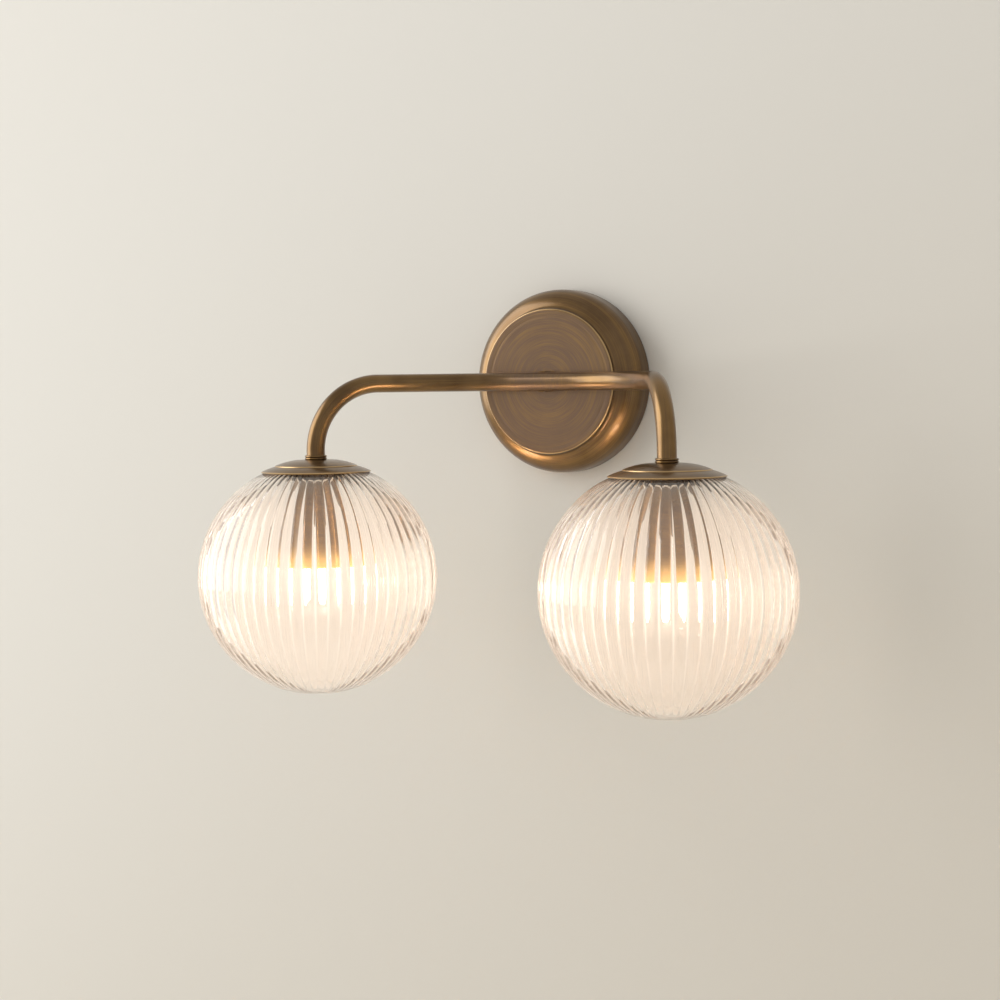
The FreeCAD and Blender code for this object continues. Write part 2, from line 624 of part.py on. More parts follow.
# ---------------------------------------------------------------- the assembly
FIXED = {
    "wall_bracket": wall_bracket,
    "earth_washer": earth_washer,
    "earth_screw": earth_screw,
    "terminal_block": terminal_block,
    "terminal_screws": terminal_screws,
    "wall_rose": wall_rose,
    "rose_screws": rose_screws,
    "bow_arm": bow_arm,
    "arm_boss": arm_boss,
    "rose_stem": rose_stem,
    "stem_washer": stem_washer,
    "stem_nut": stem_nut,
}
PER_SIDE = {
    "collar": collar,
    "nipple": nipple,
    "cap": cap,
    "cup": cup,
    "cap_nut": cap_nut,
    "lampholder": lampholder,
    "lamp_base": lamp_base,
    "lamp_pins": lamp_pins,
    "lamp_bulb": lamp_bulb,
    "globe": globe,
    "neck_ring": neck_ring,
    "neck_gasket": neck_gasket,
}


def write(name, shape):
    shape.exportStep(f"parts/{name}.step")
    print(f"{name:22s} solids {len(shape.Solids)}  volume {shape.Volume:10.1f}  valid {shape.isValid()}")


os.makedirs("parts", exist_ok=True)
for name, make in FIXED.items():
    write(name, make())
for word, side in (("left", -1), ("right", 1)):
    for name, make in PER_SIDE.items():
        write(f"{word}_{name}", on_drop(make(), side))
    write(f"{word}_lead", lead(side))
print(f"globe axes at x = +-{DROP_X:.1f}, y = {DROP_Y:.1f}; globe centre z = {GLOBE_Z:.1f}")
print(f"lead bends: {LEAD_BEND}, {LEAD_BEND}, {LEAD_BEND}, {BOW_RADIUS}, {DROP_RADIUS}")
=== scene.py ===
# %% [markdown]
# # A double arm wall sconce in Blender
#
# The real object is a wall light: a spun brass rose, one bent brass tube that bows forward, and two
# clear ribbed glass globes that hang under shallow caps. Its construction is already packed as a fixed
# frame of named nodes in metres: +X right along the wall, +Y into the wall, +Z up. This script gives
# that frame its looks. It never moves a node; where a shape must be finer, a new piece replaces it.

import json
import math

import bmesh
import bpy
from mathutils import Matrix, Vector

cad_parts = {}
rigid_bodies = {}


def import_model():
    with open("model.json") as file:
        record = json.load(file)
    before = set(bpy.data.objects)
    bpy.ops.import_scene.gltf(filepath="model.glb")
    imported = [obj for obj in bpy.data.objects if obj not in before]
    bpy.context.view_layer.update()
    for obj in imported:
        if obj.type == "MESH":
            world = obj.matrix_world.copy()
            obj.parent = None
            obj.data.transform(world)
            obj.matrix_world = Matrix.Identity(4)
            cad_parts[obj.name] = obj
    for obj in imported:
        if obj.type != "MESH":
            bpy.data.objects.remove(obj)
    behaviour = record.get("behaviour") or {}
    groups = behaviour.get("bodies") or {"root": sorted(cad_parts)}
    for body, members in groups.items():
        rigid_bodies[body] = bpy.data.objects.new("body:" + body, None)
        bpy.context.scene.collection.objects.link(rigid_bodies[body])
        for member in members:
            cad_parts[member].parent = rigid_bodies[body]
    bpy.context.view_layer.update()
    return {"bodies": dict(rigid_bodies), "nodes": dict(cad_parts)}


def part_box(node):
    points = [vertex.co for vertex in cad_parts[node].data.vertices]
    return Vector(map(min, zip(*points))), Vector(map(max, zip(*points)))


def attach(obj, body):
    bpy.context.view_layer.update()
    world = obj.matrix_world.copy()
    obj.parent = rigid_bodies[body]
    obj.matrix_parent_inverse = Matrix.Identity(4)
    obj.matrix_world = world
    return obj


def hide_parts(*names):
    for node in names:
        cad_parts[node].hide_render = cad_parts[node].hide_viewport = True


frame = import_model()
MM = 0.001
print("bodies:", ", ".join(frame["bodies"]))

# %% [markdown]
# ## Sizes
#
# Places come from the frame, so that the looks follow the construction. A node's box gives its axis
# and its reach. Only what a box can't tell, such as the radius of a cove, is written here again.

# %% Axes and levels read from the frame
SIDES = ("left", "right")


def middle(node):
    low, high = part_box(node)
    return (low + high) / 2


def reach(node):
    low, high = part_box(node)
    return (high.x - low.x) / 2


DROP = {side: Vector((middle(f"{side}_cup").x, middle(f"{side}_cup").y, 0)) for side in SIDES}
CAP_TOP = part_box("left_cap")[1].z
CUP_TOP, CUP_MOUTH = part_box("left_cup")[1].z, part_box("left_cup")[0].z
TUBE_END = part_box("bow_arm")[0].z
TUBE_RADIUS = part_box("bow_arm")[1].z
ROSE_RADIUS = reach("wall_rose")
ROSE_DEPTH = -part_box("wall_rose")[0].y
print("drop axes:", {side: tuple(round(v, 4) for v in DROP[side]) for side in SIDES})

# %% [markdown]
# ## Node trees written as sums
#
# A node tree is easier to read as a formula. The small class below wraps one socket and overloads the
# operators, so that `1 - mask` or `grain * 3` adds the Math node that it stands for. One method of the
# tree makes every other node, from its type, its settings and the values or links of its sockets.

# %% One wrapper for sockets, one maker for nodes
class Term:
    """An output socket that can be used in Python sums."""

    def __init__(self, tree, socket):
        self.tree, self.socket = tree, socket

    def _sum(self, operation, *values):
        return self.tree.add("ShaderNodeMath", {"operation": operation}, dict(enumerate(values)))

    def __add__(self, other): return self._sum("ADD", self, other)
    def __radd__(self, other): return self._sum("ADD", other, self)
    def __sub__(self, other): return self._sum("SUBTRACT", self, other)
    def __rsub__(self, other): return self._sum("SUBTRACT", other, self)
    def __mul__(self, other): return self._sum("MULTIPLY", self, other)
    def __rmul__(self, other): return self._sum("MULTIPLY", other, self)
    def __truediv__(self, other): return self._sum("DIVIDE", self, other)
    def __pow__(self, other): return self._sum("POWER", self, other)
    def __gt__(self, other): return self._sum("GREATER_THAN", self, other)
    def __lt__(self, other): return self._sum("LESS_THAN", self, other)
    def __abs__(self): return self._sum("ABSOLUTE", self)

    def sin(self): return self._sum("SINE", self)
    def cos(self): return self._sum("COSINE", self)
    def arcsine(self): return self._sum("ARCSINE", self)
    def root(self): return self._sum("SQRT", self)
    def least(self, other): return self._sum("MINIMUM", self, other)
    def most(self, other): return self._sum("MAXIMUM", self, other)
    def smooth(self, low, high):
        """0 below low, 1 above high, an even ease between."""
        ends = {"Value": self, "From Min": low, "From Max": high}
        return self.tree.add("ShaderNodeMapRange", {"interpolation_type": "SMOOTHSTEP"}, ends)


class Tree:
    """A node tree with one method that makes any node."""

    def __init__(self, nodes_and_links):
        self.nodes, self.links = nodes_and_links.nodes, nodes_and_links.links

    def add(self, kind, settings=None, sockets=None, out=0):
        """Make a node, set it, fill its sockets and return one output, if out isn't None."""
        node = self.nodes.new(kind)
        for name, value in (settings or {}).items():
            setattr(node, name, value)
        for name, value in (sockets or {}).items():
            self.put(node, name, value)
        return None if out is None else self.of(node, out)

    def put(self, node, name, value):
        """Link a term to a socket, or set the socket to a plain value."""
        socket = node.inputs[name]
        if isinstance(value, Term):
            self.links.new(value.socket, socket)
        else:
            socket.default_value = value

    def of(self, node, out):
        """An output of a node by name, or its nth output that is in use."""
        if isinstance(out, str):
            return Term(self, node.outputs[out])
        return Term(self, [socket for socket in node.outputs if socket.enabled][out])

    def split(self, vector):
        first = self.add("ShaderNodeSeparateXYZ", None, {0: vector}, "X")
        return [self.of(first.socket.node, axis) for axis in "XYZ"]

    def join(self, x, y, z):
        return self.add("ShaderNodeCombineXYZ", None, {"X": x, "Y": y, "Z": z})


MIX_SHARE, MIX_FIRST, MIX_SECOND = 0, 6, 7      # the Mix node's sockets for colours, by number


class Finish(Tree):
    """A material with one Principled shader and the helpers that its patterns use."""

    def __init__(self, name, **constants):
        self.material = bpy.data.materials.new(name)
        self.material.use_nodes = True
        super().__init__(self.material.node_tree)
        self.shader = self.nodes["Principled BSDF"]
        for socket, value in constants.items():
            self.shader.inputs[socket.replace("_", " ")].default_value = value

    def noise(self, vector, scale, detail=2.0, roughness=0.5):
        sockets = {"Vector": vector, "Scale": scale, "Detail": detail, "Roughness": roughness}
        return self.add("ShaderNodeTexNoise", None, sockets, "Fac")

    def mix(self, share, first, second):
        """The first colour where share is 0, the second where it is 1."""
        sockets = {MIX_SHARE: share, MIX_FIRST: first, MIX_SECOND: second}
        return self.add("ShaderNodeMix", {"data_type": "RGBA"}, sockets)

    def bump(self, height, depth, strength=1.0):
        sockets = {"Height": height, "Distance": depth, "Strength": strength}
        return self.add("ShaderNodeBump", None, sockets)

    def ray(self, kind):
        """1 for rays of one kind, such as Is Shadow Ray, and 0 for the others."""
        return self.add("ShaderNodeLightPath", None, None, kind)

    def place(self):
        return self.add("ShaderNodeTexCoord", None, None, "Object")

    def grain(self):
        """The vector that turned and bent pieces carry: round the piece in x and y, along it in z."""
        return self.add("ShaderNodeAttribute", {"attribute_name": "grain"}, None, "Vector")

    def feed(self, **links):
        for socket, value in links.items():
            self.put(self.shader, socket.replace("_", " "), value)
        return self.material

    def let_through(self, share, **tint):
        """Where share is 1, rays pass straight on instead of meeting the finish."""
        clear = self.add("ShaderNodeBsdfTransparent", None, tint)
        solid = Term(self, self.shader.outputs["BSDF"])
        both = self.add("ShaderNodeMixShader", None, {0: share, 1: solid, 2: clear})
        self.put(self.nodes["Material Output"], "Surface", both)
        return self.material


# %% [markdown]
# ## Antique brass
#
# The metal is brass that was darkened to a warm brown, then brushed until the gold shows again on
# edges and along the brush lines, and lacquered. Turned pieces carry rings from the lathe. So the
# pattern needs to know the way round and the way along each piece. Every turned piece carries that as
# a vector attribute named grain, which has no seam, and one recipe serves them all. The distance along
# a piece's outline also tells where its edges are, and so where handling has worn it bare. Those edge
# bands are partly a painted highlight: bright lines where the edges catch the light.

# %% The brass finish
PATINA = (0.112, 0.061, 0.022, 1)
PATINA_LIGHT = (0.165, 0.098, 0.044, 1)
GOLD = (0.34, 0.195, 0.050, 1)
# a paler, pinker brown: partly the spun face's own tone, partly a painted sheen of reflected light
SHEEN_BROWN = (0.170, 0.111, 0.076, 1)
EDGE_WEAR_HIGHLIGHT = (0.62, 0.42, 0.20, 1)
NO_GLOW = (0, 0, 0, 1)
BRUSH_DEPTH = 0.02 * MM
FACE_BLEND = 2.0 * MM
EDGE_BAND_OUTER = 0.8 * MM
EDGE_BAND_INNER = 0.15 * MM


def antique_brass(name, line_pitch=0.35 * MM, gold_share=0.35, roughness=0.34, face=0.0, worn_lit_edges_at=(),
                  **constants):
    """Brushed round the piece, with lines about line_pitch apart.

    Out to the distance face it is a flatter, pinker brown, partly its own tone and partly a painted
    sheen. At the given edge distances its edges are worn bare and carry a painted highlight.
    """
    paint = Finish(name, Metallic=1.0, Coat_Weight=0.45, Coat_Roughness=0.16, **constants)
    around, about, along = paint.split(paint.grain())
    fine = paint.noise(paint.join(around * 1.1, about * 1.1, along / line_pitch), 1.0, 3.0, 0.6)
    broad = paint.noise(paint.join(around * 0.6, about * 0.6, along / (line_pitch * 6)), 1.0, 2.0)
    cloud = paint.noise(paint.place(), 38.0, 3.0, 0.55)
    worn = (fine * 0.6 + broad * 0.3 + cloud * 0.1).smooth(0.42, 0.66)
    colour = paint.mix(cloud.smooth(0.25, 0.8), PATINA, PATINA_LIGHT)
    if face:
        # Painted sheen: the face is mixed towards the paler, pinker brown.
        colour = paint.mix(along.smooth(face, face - FACE_BLEND) * 0.85, colour, SHEEN_BROWN)
    colour = paint.mix(worn * gold_share, colour, GOLD)
    # Each marked edge is mixed towards a bright gold: worn bare brass, and partly a painted highlight
    # where the edge catches light.
    for distance in worn_lit_edges_at:
        edge = abs(along - distance + (cloud - 0.5) * 0.6 * MM).smooth(EDGE_BAND_OUTER, EDGE_BAND_INNER)
        colour = paint.mix(edge * 0.75, colour, EDGE_WEAR_HIGHLIGHT)
    relief = paint.bump(fine * 0.6 + broad * 0.4, BRUSH_DEPTH, 0.45)
    gloss = roughness + (fine - 0.5) * 0.16 + (cloud - 0.5) * 0.06
    paint.feed(Base_Color=colour, Roughness=gloss, Normal=relief)
    return paint


BRASS_TURNED = antique_brass("antique_brass_turned", gold_share=0.8, roughness=0.28).material


# %% [markdown]
# The threaded ring in each globe's neck is coloured darker than the other brass. Its lower lip carries
# a pale painted highlight, and handling has polished the lip smoother. So the colour changes with the
# height, just above the lip.

# %% The neck ring's finish
RING_DARK = (0.085, 0.066, 0.048, 1)
RING_LIP_HIGHLIGHT = (0.86, 0.80, 0.70, 1)
RING_LIP_TOP = 1.5 * MM
RING_LIP_LIT = 1.1 * MM


def ring_brass(low):
    paint = Finish("antique_brass_ring", Metallic=1.0, Coat_Weight=0.3, Coat_Roughness=0.3)
    height = paint.split(paint.place())[2]
    wear = paint.noise(paint.place(), 260.0, 3.0)
    lip = (height + wear * 0.8 * MM).smooth(low + RING_LIP_TOP, low + RING_LIP_LIT)
    # Painted highlight: the lower lip turns a pale, almost white colour.
    colour = paint.mix(lip, RING_DARK, RING_LIP_HIGHLIGHT)
    return paint.feed(Base_Color=colour, Roughness=0.42 - lip * 0.22 + (wear - 0.5) * 0.1,
                      Normal=paint.bump(wear, 0.01 * MM, 0.5))


BRASS_RING = ring_brass(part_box("left_neck_ring")[0].z)


# %% [markdown]
# The tube is the same brass, but it was brushed along its length after bending, and only round its
# middle was it polished crosswise. There its colour also turns to a paler, pinker brown: a painted
# highlight for a broad reflection. The pattern mixes the two directions by the distance along the tube.

# %% The tube's finish
CROSS_HALF = 8 * MM
CROSS_END = 45 * MM
CROSS_PITCH = 0.8 * MM


def tube_brass(length):
    paint = Finish("antique_brass_tube", Metallic=1.0, Coat_Weight=0.4, Coat_Roughness=0.14)
    around, about, along = paint.split(paint.grain())
    streaks = paint.noise(paint.join(around * 26, about * 26, along * 22), 1.0, 2.0, 0.55)
    rings = paint.noise(paint.join(around * 1.2, about * 1.2, along / CROSS_PITCH), 1.0, 2.0, 0.6)
    crosswise = 1 - abs(along - length / 2).smooth(CROSS_HALF, CROSS_END)
    lines = streaks * (1 - crosswise * 0.7) + rings * (crosswise * 0.7)
    cloud = paint.noise(paint.place(), 30.0, 3.0, 0.5)
    worn = (lines * 0.6 + cloud * 0.4).smooth(0.42, 0.66)
    colour = paint.mix(cloud.smooth(0.35, 0.7), PATINA, PATINA_LIGHT)
    # Painted highlight: the tube's middle is mixed towards the paler, pinker brown.
    colour = paint.mix(crosswise * 0.6, colour, SHEEN_BROWN)
    colour = paint.mix(worn * 0.42, colour, GOLD)
    relief = paint.bump(lines, BRUSH_DEPTH, 0.5)
    return paint.feed(Base_Color=colour, Roughness=0.30 + (lines - 0.5) * 0.14, Normal=relief)


# %% [markdown]
# ## Hidden metals, plastic, ceramic and rubber
#
# These sit behind the rose or inside the cups and show only from the back or from below. Each still
# has what the real one shows: spangle on zinc, a faint orange peel on nylon, specks in ceramic.

# %% Finishes of the working pieces
def mottled(name, first, second, scale, depth, roughness, swing=0.1, **constants):
    """A plain stuff whose colour, gloss and surface vary a little from place to place."""
    paint = Finish(name, **constants)
    spots = paint.noise(paint.place(), scale, 4.0, 0.6)
    drift = paint.noise(paint.place(), scale / 12, 2.0)
    colour = paint.mix((spots * 0.6 + drift * 0.4).smooth(0.38, 0.64), first, second)
    return paint.feed(Base_Color=colour, Roughness=roughness + (spots - 0.5) * swing,
                      Normal=paint.bump(spots, depth, 0.5))


ZINC = mottled("zinc_plate", (0.52, 0.53, 0.56, 1), (0.66, 0.67, 0.66, 1),
               420, 0.01 * MM, 0.36, Metallic=1.0)
BRIGHT_BRASS = mottled("bright_brass", (0.66, 0.47, 0.19, 1), (0.78, 0.60, 0.30, 1),
                       600, 0.01 * MM, 0.3, Metallic=1.0)
BRASS_PLAIN = mottled("antique_brass_plain", PATINA, PATINA_LIGHT, 300, 0.01 * MM, 0.42, Metallic=1.0)
NICKEL = mottled("nickel_pins", (0.58, 0.57, 0.55, 1), (0.70, 0.69, 0.66, 1),
                 900, 0.005 * MM, 0.25, Metallic=1.0)
NYLON = mottled("white_nylon", (0.78, 0.78, 0.75, 1), (0.84, 0.84, 0.82, 1), 900, 0.02 * MM, 0.48)
CERAMIC = mottled("white_ceramic", (0.76, 0.74, 0.70, 1), (0.84, 0.83, 0.80, 1),
                  700, 0.02 * MM, 0.6, swing=0.16)
SILICONE = mottled("clear_silicone", (0.70, 0.70, 0.68, 1), (0.78, 0.78, 0.76, 1), 500, 0.01 * MM, 0.42)
SLEEVE = mottled("lead_sleeve", (0.50, 0.46, 0.40, 1), (0.60, 0.56, 0.50, 1), 300, 0.03 * MM, 0.45)
WORKING_FINISHES = (ZINC, BRIGHT_BRASS, BRASS_PLAIN, NICKEL, NYLON, CERAMIC, SILICONE, SLEEVE)
print("working finishes:", ", ".join(material.name for material in WORKING_FINISHES))

# %% [markdown]
# ## Ribbed glass and the lit lamp
#
# The globes are clear pressed glass with a faint warm tint. Real refraction through real ribs makes
# the look: each rib is a small lens that stretches the lamp and the cup into stripes. Light for the
# inner pieces must pass the glass, so for shadow and diffuse rays it lets light straight through. A
# lit globe is also brighter than the wall behind it, because its ribs scatter the lamp's light over
# and over. Tracing that takes very long, so a faint glow stands for it, with more in the valleys.

# %% Glass
GLASS_TINTS = (0.99, 0.968, 0.942, 1), (0.98, 0.955, 0.932, 1)
GLASS_GLOW = (0.044, 0.029, 0.020, 1)
RIB_GLOW = (0.46, 0.41, 0.34, 1)
LINE_GLOW = (0.22, 0.20, 0.18, 1)
GLOW_START = 1 * MM
GLOW_FULL = 26 * MM
BASE_DIMMING = 0.30
LAMP_BAND = 8 * MM
LAMP_BAND_END = 26 * MM


def clear_glass(neck, lamp, base):
    """The glow is nothing at the neck, strongest level with the lamp and fainter at the base."""
    paint = Finish("ribbed_clear_glass", Transmission_Weight=0.985, IOR=1.5, Specular_IOR_Level=0.35,
                   Emission_Strength=1.0)
    height = paint.split(paint.place())[2]
    valley = paint.split(paint.grain())[0]
    lit = height.smooth(neck - GLOW_START, neck - GLOW_FULL)
    lit = lit * (1 - height.smooth(lamp, base) * BASE_DIMMING)
    near_lamp = 1 - abs(height - lamp).smooth(LAMP_BAND, LAMP_BAND_END)
    glow = paint.mix(lit, NO_GLOW, GLASS_GLOW)
    glow = paint.mix(lit * valley ** 3.5, glow, LINE_GLOW)
    glow = paint.mix(near_lamp * valley ** 3.0, glow, RIB_GLOW)
    seeds = paint.noise(paint.place(), 420.0, 1.0)
    haze = paint.noise(paint.place(), 30.0, 2.0)
    paint.feed(Base_Color=paint.mix(haze, *GLASS_TINTS),
               Roughness=0.008 + haze * 0.012 + near_lamp * 0.024,
               Normal=paint.bump(seeds, 0.02 * MM, 0.15),
               Emission_Color=glow)
    straight = paint.ray("Is Shadow Ray").most(paint.ray("Is Diffuse Ray"))
    return paint.let_through(straight, Color=(0.99, 0.985, 0.975, 1))


LAMP_STRENGTH = 200.0
LAMP_TIP = (1.0, 0.80, 0.64, 1)
LAMP_FOOT = (1.0, 0.72, 0.50, 1)
LAMP_PALE = (1.0, 0.88, 0.76, 1)
FROST = (0.92, 0.90, 0.84, 1), (0.97, 0.95, 0.90, 1)


def lamp_glass(low, high):
    """A frosted capsule whose light is warmer towards its foot, which is its upper end here."""
    paint = Finish("lit_lamp_glass", Roughness=0.4, Emission_Strength=LAMP_STRENGTH)
    height = paint.split(paint.place())[2]
    grainy = paint.noise(paint.place(), 500.0, 3.0)
    warm = paint.mix(height.smooth(low, high), LAMP_TIP, LAMP_FOOT)
    return paint.feed(Base_Color=paint.mix(grainy, *FROST),
                      Emission_Color=paint.mix(grainy * 0.15, warm, LAMP_PALE))


GLOBE_LOW, GLOBE_HIGH = (corner.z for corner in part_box("left_globe"))
BULB_LOW, BULB_HIGH = (corner.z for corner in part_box("left_lamp_bulb"))
GLASS = clear_glass(GLOBE_HIGH, middle("left_lamp_bulb").z, GLOBE_LOW)
LAMP_GLASS = lamp_glass(BULB_LOW, BULB_HIGH)
print(f"lamp {BULB_LOW:.4f} to {BULB_HIGH:.4f}, globe {GLOBE_LOW:.4f} to {GLOBE_HIGH:.4f}")


# %% [markdown]
# ## Turned pieces
#
# Rose, caps, cups, collars and rings are all made on a lathe, so one function turns an outline of
# radius and height about an axis. The outline is drawn with lines and arcs, as a turner's drawing is.
# The function also writes the grain attribute, from the angle and the distance along the outline.

# %% Outline and lathe
SAME_POINT = 1e-7


class Outline:
    """Points of a closed outline in (radius, height), drawn with lines and arcs."""

    def __init__(self, radius, height):
        self.points = [(radius, height)]
        self.marks = []

    def mark(self):
        """Note how far along the outline the pen is now."""
        pairs = zip(self.points, self.points[1:])
        self.marks.append(sum(math.dist(before, after) for before, after in pairs))
        return self

    def line(self, radius, height, steps=1):
        x, y = self.points[-1]
        for step in range(1, steps + 1):
            share = step / steps
            self.points.append((x + (radius - x) * share, y + (height - y) * share))
        return self

    def arc(self, centre, radius, first_deg, last_deg, steps=8):
        for step in range(steps + 1):
            turn = math.radians(first_deg + (last_deg - first_deg) * step / steps)
            point = (centre[0] + radius * math.cos(turn), centre[1] + radius * math.sin(turn))
            if math.dist(point, self.points[-1]) > SAME_POINT:
                self.points.append(point)
        return self


def make_piece(name, mesh, body, nodes, material):
    """Add a finished piece: its object at the origin, riding on a body in place of its nodes."""
    piece = bpy.data.objects.new(name, mesh)
    bpy.context.scene.collection.objects.link(piece)
    mesh.materials.clear()
    mesh.materials.append(material)
    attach(piece, body)
    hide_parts(*nodes)


def lathe(name, outline, sides, place, sharp_deg=32):
    """Turn a closed outline about the Z axis, then move it with the matrix place."""
    points = outline.points
    if math.dist(points[0], points[-1]) < SAME_POINT:
        points = points[:-1]
    walk = [0.0]
    for before, after in zip(points, points[1:]):
        walk.append(walk[-1] + math.dist(before, after))
    work = bmesh.new()
    grain = work.verts.layers.float_vector.new("grain")
    rows = []
    for (radius, height), distance in zip(points, walk):
        row = []
        for step in range(sides if radius > SAME_POINT else 1):
            turn = 2 * math.pi * step / sides
            spot = Vector((radius * math.cos(turn), radius * math.sin(turn), height))
            vert = work.verts.new(place @ spot)
            vert[grain] = Vector((math.cos(turn), math.sin(turn), distance))
            row.append(vert)
        rows.append(row)
    for row, after in zip(rows, rows[1:] + rows[:1]):
        for step in range(sides):
            corners = [row[step % len(row)], row[(step + 1) % len(row)],
                       after[(step + 1) % len(after)], after[step % len(after)]]
            corners = list(dict.fromkeys(corners))     # a row at the pole has a single corner
            if len(corners) > 2:
                work.faces.new(corners)
    bmesh.ops.recalc_face_normals(work, faces=work.faces)
    mesh = bpy.data.meshes.new(name)
    work.to_mesh(mesh)
    work.free()
    mesh.shade_smooth()
    mesh.set_sharp_from_angle(angle=math.radians(sharp_deg))
    print(f"{name}: {len(points)} outline points, {len(mesh.vertices)} vertices")
    return mesh


FRONT = Matrix.Rotation(math.radians(90), 4, "X")      # turned height becomes distance off the wall


# %% [markdown]
# ## Wall rose
#
# The rose is spun from sheet over a form. From the middle outward it has a flat brushed face, a fine
# raised lip, a small cove, a round shoulder and a straight skirt down to the wall. The wall thickness
# is drawn too, because the piece is open behind.

# %% Rose outline and piece
ROSE_WALL = 1.2 * MM
FACE_RADIUS = 46.0 * MM
COVE_RADIUS = 3.0 * MM
SHOULDER_RADIUS = 14.0 * MM
SKIRT_DEPTH = 9.0 * MM
LIP_RADIUS = 1.0 * MM
# where on the lip the worn edge band with its painted highlight sits
LIP_MARK_DEG = 40
GROOVE_DEPTH = 0.04 * MM
GROOVE_INNER = FACE_RADIUS - 5 * LIP_RADIUS
GROOVE_MIDDLE = FACE_RADIUS - 4.6 * LIP_RADIUS
GROOVE_OUTER = FACE_RADIUS - 4.2 * LIP_RADIUS
ROSE_EDGE = 0.35 * MM
ROSE_SIDES = 224
STEM_HOLE = 5.0 * MM


def rose_outline():
    shoulder = (ROSE_RADIUS - SHOULDER_RADIUS, SKIRT_DEPTH)
    cove_x = FACE_RADIUS + COVE_RADIUS
    rise = math.sqrt((SHOULDER_RADIUS + COVE_RADIUS) ** 2 - (cove_x - shoulder[0]) ** 2)
    cove = (cove_x, SKIRT_DEPTH + rise)
    lip = (FACE_RADIUS - LIP_RADIUS, ROSE_DEPTH - LIP_RADIUS)
    turn = math.degrees(math.atan2(rise, cove_x - shoulder[0]))
    inside = ROSE_DEPTH - ROSE_WALL
    drawn = Outline(STEM_HOLE, ROSE_DEPTH).line(GROOVE_INNER, ROSE_DEPTH, 24)
    drawn.line(GROOVE_MIDDLE, ROSE_DEPTH - GROOVE_DEPTH)
    drawn.line(GROOVE_OUTER, ROSE_DEPTH)
    drawn.line(FACE_RADIUS - LIP_RADIUS, ROSE_DEPTH, 3)
    drawn.arc(lip, LIP_RADIUS, 90, LIP_MARK_DEG, 5).mark()
    drawn.arc(lip, LIP_RADIUS, LIP_MARK_DEG, 0, 4)
    drawn.arc(cove, COVE_RADIUS, 180, 180 + turn, 12)
    drawn.arc(shoulder, SHOULDER_RADIUS, turn, 0, 28)
    drawn.line(ROSE_RADIUS, ROSE_EDGE, 6)
    drawn.arc((ROSE_RADIUS - ROSE_EDGE, ROSE_EDGE), ROSE_EDGE, 0, -90, 4)
    drawn.line(ROSE_RADIUS - ROSE_WALL, 0)
    drawn.arc(shoulder, SHOULDER_RADIUS - ROSE_WALL, 0, turn, 16)
    drawn.arc(cove, COVE_RADIUS + ROSE_WALL, 180 + turn, 180, 8)
    return drawn.line(FACE_RADIUS - ROSE_WALL, inside).line(STEM_HOLE, inside, 4)


rose_drawn = rose_outline()
BRASS_SPUN = antique_brass("antique_brass_spun", 0.55 * MM, 0.42, 0.33, face=FACE_RADIUS - STEM_HOLE,
                           worn_lit_edges_at=rose_drawn.marks).material
make_piece("rose_shell", lathe("rose_shell", rose_drawn, ROSE_SIDES, FRONT),
           "fixture", ["wall_rose"], BRASS_SPUN)

# %% [markdown]
# ## Caps, collars, cups and neck rings
#
# A collar with two beads ends the tube. Under it sits the cap, a shallow dome with a crisp ledge and a
# brim that turns down over the glass. The deep cup inside the globe hides the lampholder. All are
# turned about the axis of their globe.

# %% Outlines of the pieces on each drop
CAP_SHEET = 0.8 * MM
CAP_FLAT = 8.0 * MM
CAP_LEDGE = 25.7 * MM
CAP_DOME_FALL = 3.7 * MM
CAP_STEP = 0.5 * MM
CAP_CURVE = 45.0 * MM
CAP_BRIM_FALL = 3.2 * MM
CAP_BRIM_EXTRA_DEG = 0.35
CAP_RIM_STEPS = (0.02 * MM, 0.15 * MM), (0.1 * MM, 0.4 * MM)
NIPPLE_HOLE = 4.05 * MM
COLLAR_SPIGOT = 4.9 * MM
CUP_WALL = 1.0 * MM
CUP_EDGE = 0.25 * MM
RING_PLAY = 0.08 * MM
RING_FLANGE = 1.9 * MM
RING_SHEET = 0.8 * MM
THREAD_TURNS = 3
THREAD_TOP = 3.6 * MM
THREAD_PITCH = 1.3 * MM
THREAD_RADIUS = 0.45 * MM
THREAD_ROOT = 0.25 * MM
THREAD_RELIEF = 0.3 * MM


def bulging_arc(first, last, radius):
    """Centre and angles of an arc from first to last that bulges up and outward."""
    half = math.dist(first, last) / 2
    slope = math.atan2(last[1] - first[1], last[0] - first[0])
    rise = math.sqrt(radius ** 2 - half ** 2)
    centre = ((first[0] + last[0]) / 2 + rise * math.sin(slope),
              (first[1] + last[1]) / 2 - rise * math.cos(slope))
    turns = [math.degrees(math.atan2(p[1] - centre[1], p[0] - centre[0])) for p in (first, last)]
    return centre, *turns


